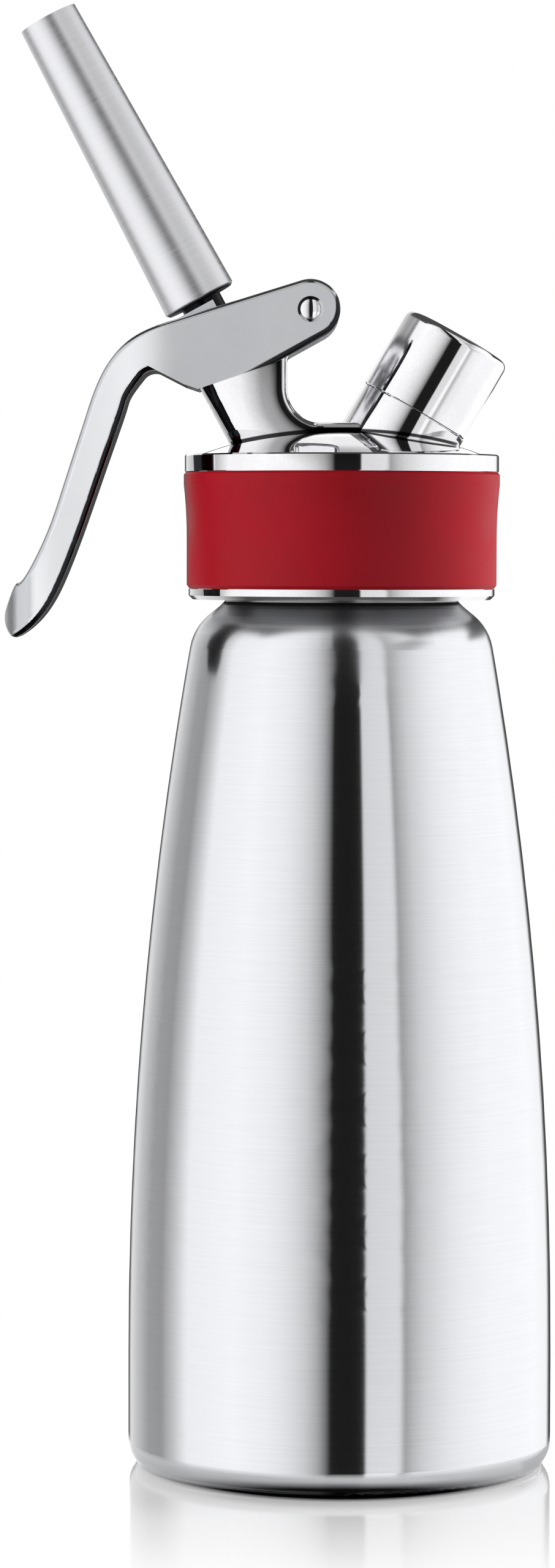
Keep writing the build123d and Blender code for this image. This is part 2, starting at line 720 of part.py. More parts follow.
# ---- piercing pin: a point on a round shank, with a flat that lets the gas past
with BuildPart() as piercing_pin:
    revolve(
        half_section(
            PORT,
            [
                (0, PIERCING_ROOT + EPS),
                (PIERCING_R, PIERCING_ROOT + EPS),
                (PIERCING_R, PIERCING_TOP - 2.2),
                (0.15, PIERCING_TOP),
                (0, PIERCING_TOP),
            ],
        ),
        PORT_AXIS,
    )
    flat_origin = PORT.from_local_coords((PIERCING_R * 0.55, 0, 0))
    split(bisect_by=Plane(origin=flat_origin, z_dir=PORT.x_dir), keep=Keep.BOTTOM)
finish("piercing_pin", piercing_pin)
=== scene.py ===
from math import cos, pi, radians, sin

import bpy
from mathutils import Matrix, Vector


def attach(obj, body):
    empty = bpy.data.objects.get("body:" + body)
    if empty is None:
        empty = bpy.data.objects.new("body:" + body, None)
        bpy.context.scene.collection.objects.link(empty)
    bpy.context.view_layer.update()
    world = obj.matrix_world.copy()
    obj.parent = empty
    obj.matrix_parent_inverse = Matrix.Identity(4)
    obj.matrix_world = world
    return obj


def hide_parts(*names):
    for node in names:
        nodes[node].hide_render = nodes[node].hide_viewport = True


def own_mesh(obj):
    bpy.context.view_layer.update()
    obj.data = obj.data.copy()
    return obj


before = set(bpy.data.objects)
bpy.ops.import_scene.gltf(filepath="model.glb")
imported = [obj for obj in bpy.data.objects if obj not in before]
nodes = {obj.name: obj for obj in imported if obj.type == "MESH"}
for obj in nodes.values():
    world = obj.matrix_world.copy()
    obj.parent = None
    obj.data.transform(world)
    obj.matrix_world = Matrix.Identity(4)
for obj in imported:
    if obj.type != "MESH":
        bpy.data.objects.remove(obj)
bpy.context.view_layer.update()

# A whipped cream dispenser: brushed steel bottle, polished screw-on head with a
# hinged lever, a leaning decorator tip and a capped charger port.

MM = 0.001

# The bottle stands upright; the tip leans to the left and the port to the right, in degrees.
# Each has a base point on its axis, where it leaves the head.
TIP_LEAN = -28.5
PORT_LEAN = 30.0
TIP_BASE = Vector((-28.28, 0.0, 233.03)) * MM
TIP_UP = Vector((sin(radians(TIP_LEAN)), 0.0, cos(radians(TIP_LEAN))))
PORT_BASE = Vector((23.2, 0.0, 226.2)) * MM
BOTTLE_BASE = Vector((0.0, 0.0, 0.0))
BOTTLE_UP = Vector((0.0, 0.0, 1.0))

# Faces that meet at less than this angle are shaded as one round surface.
SMOOTH_ANGLE = radians(40)


# ---------------------------------------------------------------- nodes

# A Mix node has its sockets once for each type, all under the same names, so they go by number.
NUMBER_A, NUMBER_B, NUMBER_OUT = 2, 3, 0
COLOUR_A, COLOUR_B, COLOUR_OUT = 6, 7, 2
WHITE = (1.0, 1.0, 1.0, 1.0)


def linear(hex_colour):
    """An sRGB hex colour as linear RGBA."""
    parts = [int(hex_colour[i : i + 2], 16) / 255 for i in (1, 3, 5)]
    red, green, blue = [c / 12.92 if c <= 0.04045 else ((c + 0.055) / 1.055) ** 2.4 for c in parts]
    return (red, green, blue, 1.0)


def add(tree, kind, settings=None, inputs=None):
    """Adds a node with its settings. Its inputs, by name or number, are set or linked."""
    node = tree.nodes.new(kind)
    for name, value in (settings or {}).items():
        setattr(node, name, value)
    for key, value in (inputs or {}).items():
        if isinstance(value, bpy.types.NodeSocket):
            tree.links.new(value, node.inputs[key])
        else:
            node.inputs[key].default_value = value
    return node


def empty_material(name):
    """A material with no nodes yet, and its node tree."""
    material = bpy.data.materials.new(name)
    material.use_nodes = True
    material.node_tree.nodes.clear()
    return material, material.node_tree


def graded(tree, stops, number):
    """Turns a number into a brightness, or into a share from 0 to 1. The stops are pairs of
    (number, result) in rising order, and the result changes evenly from one to the next."""
    low, high = stops[0][0], stops[-1][0]
    scaled = add(
        tree, "ShaderNodeMapRange", inputs={"Value": number, "From Min": low, "From Max": high}
    ).outputs[0]
    ramp = add(tree, "ShaderNodeValToRGB", inputs={"Fac": scaled})
    elements = ramp.color_ramp.elements
    while len(elements) > 1:
        elements.remove(elements[-1])
    for i, (place, result) in enumerate(stops):
        spot = (place - low) / (high - low)
        element = elements[0] if i == 0 else elements.new(spot)
        element.position = spot
        element.color = (result, result, result, 1.0)
    return ramp.outputs[0]


def overlap(tree, share, *others):
    """The share where several shares, each from 0 to 1, hold at once."""
    for other in others:
        share = add(
            tree, "ShaderNodeMath", {"operation": "MULTIPLY"}, {0: share, 1: other}
        ).outputs[0]
    return share


def distance_along(tree, base, axis):
    """How far each point of a piece lies from base along an axis, in metres."""
    place = add(tree, "ShaderNodeTexCoord").outputs["Object"]
    offset = add(
        tree, "ShaderNodeVectorMath", {"operation": "SUBTRACT"}, {0: place, 1: base}
    ).outputs[0]
    return add(
        tree, "ShaderNodeVectorMath", {"operation": "DOT_PRODUCT"}, {0: offset, 1: axis}
    ).outputs["Value"]


def facing(tree, way):
    """How squarely a surface faces a direction: 1 straight at it, -1 straight away from it."""
    normal = add(tree, "ShaderNodeTexCoord").outputs["Normal"]
    return add(
        tree, "ShaderNodeVectorMath", {"operation": "DOT_PRODUCT"}, {0: normal, 1: way}
    ).outputs["Value"]


def facing_sideways(tree):
    """How squarely a surface faces the front or the back, from 0 to 1."""
    normal = add(tree, "ShaderNodeTexCoord").outputs["Normal"]
    turned = add(tree, "ShaderNodeSeparateXYZ", inputs={0: normal}).outputs["Y"]
    return add(tree, "ShaderNodeMath", {"operation": "ABSOLUTE"}, {0: turned}).outputs[0]


def shaded(material, shade, share=1.0):
    """Paints shade on a metal: darkens it by the brightness in shade, where share is 1."""
    tree = material.node_tree
    shader = tree.nodes["Principled BSDF"]
    tint = add(
        tree,
        "ShaderNodeMix",
        {"data_type": "RGBA", "blend_type": "MULTIPLY"},
        {
            "Factor": share,
            COLOUR_A: shader.inputs["Base Color"].links[0].from_socket,
            COLOUR_B: shade,
        },
    )
    tree.links.new(tint.outputs[COLOUR_OUT], shader.inputs["Base Color"])


def softened(material, share, roughness):
    """Makes a metal as rough as roughness, where share is 1."""
    tree = material.node_tree
    shader = tree.nodes["Principled BSDF"]
    rough = add(
        tree,
        "ShaderNodeMix",
        inputs={
            "Factor": share,
            NUMBER_A: shader.inputs["Roughness"].links[0].from_socket,
            NUMBER_B: roughness,
        },
    )
    tree.links.new(rough.outputs[NUMBER_OUT], shader.inputs["Roughness"])


# ---------------------------------------------------------------- kinds of surface

# Each layer of brush strokes: how long they are in mm, and how many lines apart.
BRUSH_STROKES = ((40.0, 1), (15.0, 3))
# The two layers of strokes together lie between these.
STROKES_LOW, STROKES_HIGH = 0.6, 1.4
# Lines cut deeper are rougher by this share than the middle, shallow ones smoother.
BRUSHED_SPREAD = 0.15


def brushed_steel(name, tones, base, axis, radius, line_mm, wave_mm, roughness, anisotropy):
    """Stainless steel brushed while it turned: hair lines run round it, so what it mirrors
    stays sharp across but smears into long bands along the axis. The real lines are about
    0.05 mm apart, too fine to show, so they are drawn line_mm apart and wave_mm deep."""
    material, tree = empty_material(name)
    side = axis.orthogonal().normalized()
    x, y, height = [distance_along(tree, base, way) for way in (side, axis.cross(side), axis)]
    angle = add(tree, "ShaderNodeMath", {"operation": "ARCTAN2"}, {0: y, 1: x}).outputs[0]
    way_round = add(
        tree, "ShaderNodeMath", {"operation": "MULTIPLY"}, {0: angle, 1: radius}
    ).outputs[0]
    spot = add(tree, "ShaderNodeCombineXYZ", inputs={0: way_round, 1: height}).outputs[0]
    layers = []
    for length_mm, lines in BRUSH_STROKES:
        drawn_out = (1 / (length_mm * MM), 1 / (lines * line_mm * MM), 1.0)
        stroke = add(
            tree, "ShaderNodeVectorMath", {"operation": "MULTIPLY"}, {0: spot, 1: drawn_out}
        ).outputs[0]
        layers.append(
            add(
                tree, "ShaderNodeTexNoise", inputs={"Vector": stroke, "Scale": 1.0, "Detail": 2.0}
            ).outputs[0]
        )
    strokes = add(
        tree, "ShaderNodeMath", {"operation": "ADD"}, {0: layers[0], 1: layers[1]}
    ).outputs[0]
    share = add(
        tree,
        "ShaderNodeMapRange",
        inputs={"Value": strokes, "From Min": STROKES_LOW, "From Max": STROKES_HIGH},
    ).outputs[0]
    rough = add(
        tree,
        "ShaderNodeMapRange",
        inputs={
            "Value": share,
            "To Min": roughness * (1 - BRUSHED_SPREAD),
            "To Max": roughness * (1 + BRUSHED_SPREAD),
        },
    ).outputs[0]
    tint = add(
        tree,
        "ShaderNodeMix",
        {"data_type": "RGBA"},
        {"Factor": share, COLOUR_A: linear(tones[0]), COLOUR_B: linear(tones[1])},
    ).outputs[COLOUR_OUT]
    bump = add(
        tree, "ShaderNodeBump", inputs={"Height": strokes, "Distance": wave_mm * MM}
    ).outputs[0]
    smear = add(
        tree, "ShaderNodeCombineXYZ", inputs={0: axis.x, 1: axis.y, 2: axis.z}
    ).outputs[0]
    shader = add(
        tree,
        "ShaderNodeBsdfPrincipled",
        inputs={
            "Base Color": tint,
            "Metallic": 1.0,
            "Roughness": rough,
            "Anisotropic": anisotropy,
            "Normal": bump,
            "Tangent": smear,
        },
    )
    add(tree, "ShaderNodeOutputMaterial", inputs={"Surface": shader.outputs[0]})
    return material


# Smudges from handling are about this wide, and lie between these.
SMUDGE_MM = 12.0
SMUDGES_LOW, SMUDGES_HIGH = 0.3, 0.7
# Grain and smudges together, which choose between the two tones, lie between these.
TONES_LOW, TONES_HIGH = 0.1, 0.4


def grained(name, tones, roughness, grain_mm, depth_mm, metallic, spread, specular=0.5):
    """A plain surface between two tones, with an even grain and wide faint smudges that make it
    rougher and smoother by the share spread. Real grain of 0.02 to 0.05 mm is too fine to show,
    so it is drawn grain_mm wide and depth_mm deep."""
    material, tree = empty_material(name)
    place = add(tree, "ShaderNodeTexCoord").outputs["Object"]
    grain, smudge = [
        add(
            tree,
            "ShaderNodeTexNoise",
            inputs={"Vector": place, "Scale": 1 / (size_mm * MM), "Detail": detail},
        ).outputs[0]
        for size_mm, detail in ((grain_mm, 3.0), (SMUDGE_MM, 4.0))
    ]
    both = add(
        tree, "ShaderNodeMath", {"operation": "MULTIPLY"}, {0: grain, 1: smudge}
    ).outputs[0]
    rough = add(
        tree,
        "ShaderNodeMapRange",
        inputs={
            "Value": smudge,
            "From Min": SMUDGES_LOW,
            "From Max": SMUDGES_HIGH,
            "To Min": roughness * (1 - spread),
            "To Max": roughness * (1 + spread),
        },
    ).outputs[0]
    share = add(
        tree,
        "ShaderNodeMapRange",
        inputs={"Value": both, "From Min": TONES_LOW, "From Max": TONES_HIGH},
    ).outputs[0]
    tint = add(
        tree,
        "ShaderNodeMix",
        {"data_type": "RGBA"},
        {"Factor": share, COLOUR_A: linear(tones[0]), COLOUR_B: linear(tones[1])},
    ).outputs[COLOUR_OUT]
    bump = add(
        tree, "ShaderNodeBump", inputs={"Height": grain, "Distance": depth_mm * MM}
    ).outputs[0]
    shader = add(
        tree,
        "ShaderNodeBsdfPrincipled",
        inputs={
            "Base Color": tint,
            "Metallic": metallic,
            "Roughness": rough,
            "Specular IOR Level": specular,
            "Normal": bump,
        },
    )
    add(tree, "ShaderNodeOutputMaterial", inputs={"Surface": shader.outputs[0]})
    return material


# The lever's round edges, by how squarely they face the front or the back.
LEVER_EDGES = ((0.0, 0.0), (0.18, 0.0), (0.28, 1.0), (0.92, 1.0), (0.97, 0.0), (1.0, 0.0))
# Its undersides, which carry a painted dark reflection, by how squarely they face this way,
# down and to the right.
UNDER_WAY = (0.6, 0.0, -0.8)
LEVER_UNDERSIDES = ((-1.0, 0.0), (0.06, 0.0), (0.16, 1.0), (1.0, 1.0))
# Its handle, by x in metres; its ears are right of that.
LEVER_HANDLE = ((-0.08, 1.0), (-0.042, 1.0), (-0.03, 0.0), (0.01, 0.0))
# The beads leave dents of 0.05 mm, too fine to show, so they are drawn wider, and faint clouds
# where the blasting was uneven.
BLASTED_GRAIN_MM, BLASTED_DEPTH_MM = 0.25, 0.0007
BLASTED_CLOUD_MM = 9
EAR_ROUGHNESS, HANDLE_ROUGHNESS, EDGE_ROUGHNESS = 0.68, 0.42, 0.08
# The handle's flat sides are slightly crowned, so their shine leans outwards and up.
CROWN_LEAN = (-0.25, 0.0, 0.05)


def two_sided_lever(name, face, edge, under):
    """Cast stainless steel: the flat sides of the lever are bead blasted and glow softly, while its
    rounded edges are polished. Their undersides would mirror the dark below the handle, which a
    white room lacks, so a painted dark reflection is laid on them."""
    material, tree = empty_material(name)
    on_edge = graded(tree, LEVER_EDGES, facing_sideways(tree))
    on_under = graded(tree, LEVER_UNDERSIDES, facing(tree, UNDER_WAY))
    polished = add(
        tree, "ShaderNodeMath", {"operation": "MAXIMUM"}, {0: on_edge, 1: on_under}
    ).outputs[0]
    place = add(tree, "ShaderNodeTexCoord").outputs["Object"]
    grain, cloud = [
        add(
            tree,
            "ShaderNodeTexNoise",
            inputs={"Vector": place, "Scale": 1 / (size_mm * MM), "Detail": 2.0},
        ).outputs[0]
        for size_mm in (BLASTED_GRAIN_MM, BLASTED_CLOUD_MM)
    ]
    side, rim = [
        add(
            tree,
            "ShaderNodeMix",
            {"data_type": "RGBA"},
            {"Factor": share, COLOUR_A: linear(first), COLOUR_B: linear(second)},
        ).outputs[COLOUR_OUT]
        for share, first, second in ((cloud, face[0], face[1]), (on_under, edge, under))
    ]
    colour = add(
        tree,
        "ShaderNodeMix",
        {"data_type": "RGBA"},
        {"Factor": polished, COLOUR_A: side, COLOUR_B: rim},
    ).outputs[COLOUR_OUT]
    along = add(tree, "ShaderNodeSeparateXYZ", inputs={0: place}).outputs["X"]
    on_handle = graded(tree, LEVER_HANDLE, along)
    satin = add(
        tree,
        "ShaderNodeMapRange",
        inputs={"Value": on_handle, "To Min": EAR_ROUGHNESS, "To Max": HANDLE_ROUGHNESS},
    ).outputs[0]
    rough = add(
        tree,
        "ShaderNodeMix",
        inputs={"Factor": polished, NUMBER_A: satin, NUMBER_B: EDGE_ROUGHNESS},
    ).outputs[NUMBER_OUT]
    on_side = add(
        tree, "ShaderNodeMath", {"operation": "SUBTRACT"}, {0: on_handle, 1: polished}
    ).outputs[0]
    crown = add(
        tree, "ShaderNodeMath", {"operation": "MAXIMUM"}, {0: on_side, 1: 0.0}
    ).outputs[0]
    lean = add(
        tree, "ShaderNodeVectorMath", {"operation": "SCALE"}, {0: CROWN_LEAN, "Scale": crown}
    ).outputs[0]
    surface = add(tree, "ShaderNodeNewGeometry").outputs["Normal"]
    leaning = add(
        tree, "ShaderNodeVectorMath", {"operation": "ADD"}, {0: surface, 1: lean}
    ).outputs[0]
    crowned = add(
        tree, "ShaderNodeVectorMath", {"operation": "NORMALIZE"}, {0: leaning}
    ).outputs[0]
    bump = add(
        tree,
        "ShaderNodeBump",
        inputs={"Height": grain, "Distance": BLASTED_DEPTH_MM * MM, "Normal": crowned},
    ).outputs[0]
    shader = add(
        tree,
        "ShaderNodeBsdfPrincipled",
        inputs={"Base Color": colour, "Metallic": 1.0, "Roughness": rough, "Normal": bump},
    )
    add(tree, "ShaderNodeOutputMaterial", inputs={"Surface": shader.outputs[0]})
    return material


# ---------------------------------------------------------------- painted shade and dull places

# Painted shade, painted dark reflections and roughness, laid on the steel where it looks darker
# or duller than its finish alone would in this room. The causes given for the dullness are a guess.

# The painted shadow on the stem's shoulder, by metres along the tip's axis.
SHOULDER_BAND = (
    (-0.06, 0.0),
    (-0.0048, 0.0),
    (-0.0045, 1.0),
    (0.0, 1.0),
    (0.0003, 0.0),
    (0.02, 0.0),
)
# The black of the painted shadow.
SHOULDER_SHADOW_BLACK = "#1E1F21"


def painted_shoulder_shadow(material):
    """Paints a black shadow on the stem's shoulder under the tip, so it reads as a dark gap."""
    tree = material.node_tree
    shader = tree.nodes["Principled BSDF"]
    tint = add(
        tree,
        "ShaderNodeMix",
        {"data_type": "RGBA"},
        {
            "Factor": graded(tree, SHOULDER_BAND, distance_along(tree, TIP_BASE, TIP_UP)),
            COLOUR_A: shader.inputs["Base Color"].links[0].from_socket,
            COLOUR_B: linear(SHOULDER_SHADOW_BLACK),
        },
    )
    tree.links.new(tint.outputs[COLOUR_OUT], shader.inputs["Base Color"])


# The bottle's cone by its height in metres: how bright its painted shade leaves it, and how
# far it is left unbrushed.
CONE_SHADE = (
    (0.16, 1.0),
    (0.1672, 1.0),
    (0.1698, 0.42),
    (0.1732, 0.38),
    (0.1745, 0.3),
    (0.2, 1.0),
)
CONE_UNBRUSHED = (
    (0.14, 0.0),
    (0.152, 0.0),
    (0.16, 0.25),
    (0.1655, 0.4),
    (0.169, 1.0),
    (0.2, 1.0),
)
SPUN_ROUGHNESS = 0.3


def shaded_cone(material):
    """Paints shade on the cone between the bottle's neck and its wall, fading up the neck above
    it, and dulls it as if it was left as it was spun, unbrushed."""
    tree = material.node_tree
    place = add(tree, "ShaderNodeTexCoord").outputs["Object"]
    height = add(tree, "ShaderNodeSeparateXYZ", inputs={0: place}).outputs["Z"]
    shaded(material, graded(tree, CONE_SHADE, height))
    softened(material, graded(tree, CONE_UNBRUSHED, height), SPUN_ROUGHNESS)


# Brightness of the painted shadow on the tip's rim, by metres along its axis.
RIM_SHADE = ((-0.01, 0.04), (0.0003, 0.04), (0.0005, 1.0), (0.01, 1.0))


def shaded_rim(material):
    """Paints a black shadow on the foot of the tip, where it stands on the head."""
    tree = material.node_tree
    shaded(material, graded(tree, RIM_SHADE, distance_along(tree, TIP_BASE, TIP_UP)))


# Brightness of the painted dark reflection and shade on the tower's face, by mm to the left of
# or below the middle of the scoop.
SCOOP_CENTRE = (-0.0042, 0.0, 0.2156)
SCOOP_SHADE = (
    (0.0, 1.0),
    (7.6, 1.0),
    (7.9, 0.02),
    (8.8, 0.02),
    (9.0, 0.14),
    (9.7, 0.4),
    (10.4, 0.5),
    (12.0, 0.52),
    (13.4, 0.75),
    (16.0, 1.0),
    (30.0, 1.0),
)
# Inside the scoop's edge, by the same distance.
IN_SCOOP = ((0.0, 1.0), (7.7, 1.0), (7.9, 0.0), (30.0, 0.0))
# The head's flanks there, by how squarely they face the front or the back.
SCOOP_FLANKS = ((0.0, 0.0), (0.5, 0.0), (0.6, 1.0), (1.0, 1.0))
# From the middle, in mm: the ridge to the port begins and the marks end this far to the right.
RIDGE_FROM_MM, SCOOP_TO_MM = 0.5, 7.6
RIDGE_ROUGHNESS = 0.55


def shaded_scoop(material):
    """Paints a dark reflection along the edge of the round cut behind the lever, with grey shade
    beside it, and dulls the ridge beside it as if polishing wheels didn't reach there."""
    tree = material.node_tree
    spot = add(tree, "ShaderNodeTexCoord").outputs["Object"]
    place = add(
        tree, "ShaderNodeVectorMath", {"operation": "SUBTRACT"}, {0: spot, 1: SCOOP_CENTRE}
    ).outputs[0]
    left = add(
        tree, "ShaderNodeVectorMath", {"operation": "MINIMUM"}, {0: place, 1: (0.0, 0.0, 0.0)}
    ).outputs[0]
    flat = add(
        tree, "ShaderNodeVectorMath", {"operation": "MULTIPLY"}, {0: left, 1: (1 / MM, 0.0, 1 / MM)}
    ).outputs[0]
    away = add(tree, "ShaderNodeVectorMath", {"operation": "LENGTH"}, {0: flat}).outputs["Value"]
    along = add(tree, "ShaderNodeSeparateXYZ", inputs={0: place}).outputs["X"]
    reach = add(
        tree, "ShaderNodeMath", {"operation": "LESS_THAN"}, {0: along, 1: SCOOP_TO_MM * MM}
    ).outputs[0]
    on_ridge = add(
        tree, "ShaderNodeMath", {"operation": "GREATER_THAN"}, {0: along, 1: RIDGE_FROM_MM * MM}
    ).outputs[0]
    beside = overlap(tree, graded(tree, SCOOP_FLANKS, facing_sideways(tree)), reach)
    shaded(material, graded(tree, SCOOP_SHADE, away), beside)
    inside = graded(tree, IN_SCOOP, away)
    softened(material, overlap(tree, on_ridge, inside, beside), RIDGE_ROUGHNESS)


# The crease's shade, by the height in metres at which the arch through a point stands at its top.
FOOT_SHADE = ((0.2, 1.0), (0.2068, 1.0), (0.207, 0.05), (0.2075, 0.05), (0.2077, 1.0), (0.22, 1.0))
# The arch falls away from its top by this much for each square metre of the distance sideways.
ARCH_FALL = 5.2
# The dome's flanks, by how squarely they face the front or the back.
FOOT_FLANKS = ((0.0, 0.0), (0.3, 0.0), (0.4, 1.0), (1.0, 1.0))


def shaded_foot(material):
    """Paints the shade of a crease: a dark line in an arch where the tower and the port grow out of
    the dome. It is a tint alone: the casting has no cut there."""
    tree = material.node_tree
    place = add(tree, "ShaderNodeTexCoord").outputs["Object"]
    x, _, z = add(tree, "ShaderNodeSeparateXYZ", inputs={0: place}).outputs
    squared = add(tree, "ShaderNodeMath", {"operation": "MULTIPLY"}, {0: x, 1: x}).outputs[0]
    arch = add(
        tree, "ShaderNodeMath", {"operation": "MULTIPLY_ADD"}, {0: squared, 1: ARCH_FALL, 2: z}
    ).outputs[0]
    beside = graded(tree, FOOT_FLANKS, facing_sideways(tree))
    shaded(material, graded(tree, FOOT_SHADE, arch), beside)


# The port's side towards the lever: the way it faces, how squarely, and the x where it begins,
# in mm.
PORT_SIDE_WAY = (-0.837, -0.259, 0.483)
PORT_SIDE = ((-1.0, 0.0), (0.84, 0.0), (0.9, 1.0), (1.0, 1.0))
PORT_FROM_MM = 2.0
SATIN_ROUGHNESS = 0.2


def satin_side(material):
    """Leaves the port's side towards the lever satin, as if polishing wheels didn't reach
    there."""
    tree = material.node_tree
    on_side = graded(tree, PORT_SIDE, facing(tree, PORT_SIDE_WAY))
    place = add(tree, "ShaderNodeTexCoord").outputs["Object"]
    along = add(tree, "ShaderNodeSeparateXYZ", inputs={0: place}).outputs["X"]
    on_port = add(
        tree, "ShaderNodeMath", {"operation": "GREATER_THAN"}, {0: along, 1: PORT_FROM_MM * MM}
    ).outputs[0]
    softened(material, overlap(tree, on_side, on_port), SATIN_ROUGHNESS)


# ---------------------------------------------------------------- materials

# Stainless steel sheet, spun to a bottle and brushed as it turned: fine level hair lines, and
# reflections drawn out into long soft bands from shoulder to foot. Each brushed piece has its
# mean radius in metres, which the lines are measured round.
bottle_steel = brushed_steel(
    "stainless_brushed_bottle",
    tones=("#E3E4E7", "#E9EAED"),
    base=BOTTLE_BASE,
    axis=BOTTLE_UP,
    radius=0.04,
    line_mm=0.2,
    wave_mm=0.000008,
    roughness=0.09,
    anisotropy=0.5,
)
# Stainless steel turned on a lathe round the tip's own axis: bright, with blurred bands.
tip_steel = brushed_steel(
    "stainless_turned_tip",
    tones=("#E4E5E8", "#F2F2F5"),
    base=TIP_BASE,
    axis=TIP_UP,
    radius=0.007,
    line_mm=0.2,
    wave_mm=0.000022,
    roughness=0.36,
    anisotropy=0.35,
)
# Stainless steel polished on wheels to a mirror: clear reflections, with faint smudges and a
# grain too shallow to catch the light. The cap and the pin are machined, the head is cast.
polished_steel, head_steel = [
    grained(
        name,
        tones=("#E9E9EB", "#F4F4F6"),
        roughness=0.045,
        grain_mm=0.4,
        depth_mm=0.0,
        metallic=1.0,
        spread=0.3,
    )
    for name in ("stainless_mirror_polished", "stainless_cast_polished_head")
]
shaded_cone(bottle_steel)
shaded_rim(tip_steel)
shaded_scoop(head_steel)
shaded_foot(head_steel)
satin_side(head_steel)
satin_side(polished_steel)
# Cast stainless steel, bead blasted on the flat and polished round the edges: a soft pale glow
# inside a bright rim, with a painted dark reflection along its undersides.
lever_steel = two_sided_lever(
    "stainless_cast_lever", face=("#EBECEF", "#F3F4F6"), edge="#C4C6C9", under="#2A2B2E"
)
# Stainless steel bar turned on a lathe: grey and satin, with a black painted shadow on its
# shoulder under the tip.
stem_steel = brushed_steel(
    "stainless_turned_stem",
    tones=("#B8B9BB", "#CFD0D2"),
    base=TIP_BASE,
    axis=TIP_UP,
    radius=0.004,
    line_mm=0.2,
    wave_mm=0.0004,
    roughness=0.25,
    anisotropy=0.6,
)
painted_shoulder_shadow(stem_steel)
# Stainless steel turned and left as it is, on the small parts inside: an even grey satin.
turned_steel = grained(
    "stainless_turned",
    tones=("#C8C8CA", "#D8D8DA"),
    roughness=0.2,
    grain_mm=0.3,
    depth_mm=0.0004,
    metallic=1.0,
    spread=0.2,
)
# Silicone rubber moulded in a blasted mould: a deep even red with hardly any shine.
red_silicone = grained(
    "silicone_moulded_red",
    tones=("#860310", "#94061A"),
    roughness=0.5,
    grain_mm=0.3,
    depth_mm=0.003,
    metallic=0.0,
    spread=0.15,
    specular=0.2,
)
# Nitrile rubber, moulded: dull black with a slightly grey bloom.
black_rubber = grained(
    "nitrile_rubber_moulded",
    tones=("#161616", "#242424"),
    roughness=0.55,
    grain_mm=0.3,
    depth_mm=0.004,
    metallic=0.0,
    spread=0.15,
)
# Acetal turned from white rod: milky white and half matt.
white_plastic = grained(
    "acetal_turned_white",
    tones=("#E4E3DC", "#F0EFE8"),
    roughness=0.4,
    grain_mm=0.3,
    depth_mm=0.002,
    metallic=0.0,
    spread=0.15,
)

FINISH = {
    bottle_steel: ("bottle",),
    tip_steel: ("decorator_tip",),
    head_steel: ("head_casting",),
    polished_steel: ("port_cap", "lever_pivot_pin"),
    lever_steel: ("lever",),
    stem_steel: ("valve_stem",),
    turned_steel: (
        "press_collar",
        "spring_washer",
        "valve_poppet",
        "poppet_nut",
        "valve_spring",
        "piercing_insert",
        "piercing_pin",
    ),
    red_silicone: ("grip_band", "head_gasket"),
    black_rubber: (
        "tip_seal",
        "stem_o_ring",
        "poppet_seal",
        "cap_liner",
        "charger_seal",
        "non_return_sleeve",
    ),
    white_plastic: ("stem_guide_bush",),
}
for material, names in FINISH.items():
    for name in names:
        mesh = nodes[name].data
        mesh.materials.clear()
        mesh.materials.append(material)


# ---------------------------------------------------------------- threads

THREAD_STEPS = 48  # to a turn
THREAD_SINK = 0.05  # how deep the ridge's foot stands in the wall, in mm
CREST_SHARE = 0.3  # how wide the crest is against the foot
END_REACH = 0.5  # an end section lies within this many turns of the ridge's end
ON_PLANE = 1e-7  # metres


def select_vertices(piece, wanted):
    """Selects the vertices whose place is wanted, and stays in edit mode."""
    bpy.ops.object.mode_set(mode="EDIT")
    bpy.ops.mesh.select_mode(type="VERT")
    bpy.ops.mesh.select_all(action="DESELECT")
    bpy.ops.object.mode_set(mode="OBJECT")
    for vertex in piece.data.vertices:
        vertex.select = wanted(vertex.co)
    bpy.ops.object.mode_set(mode="EDIT")


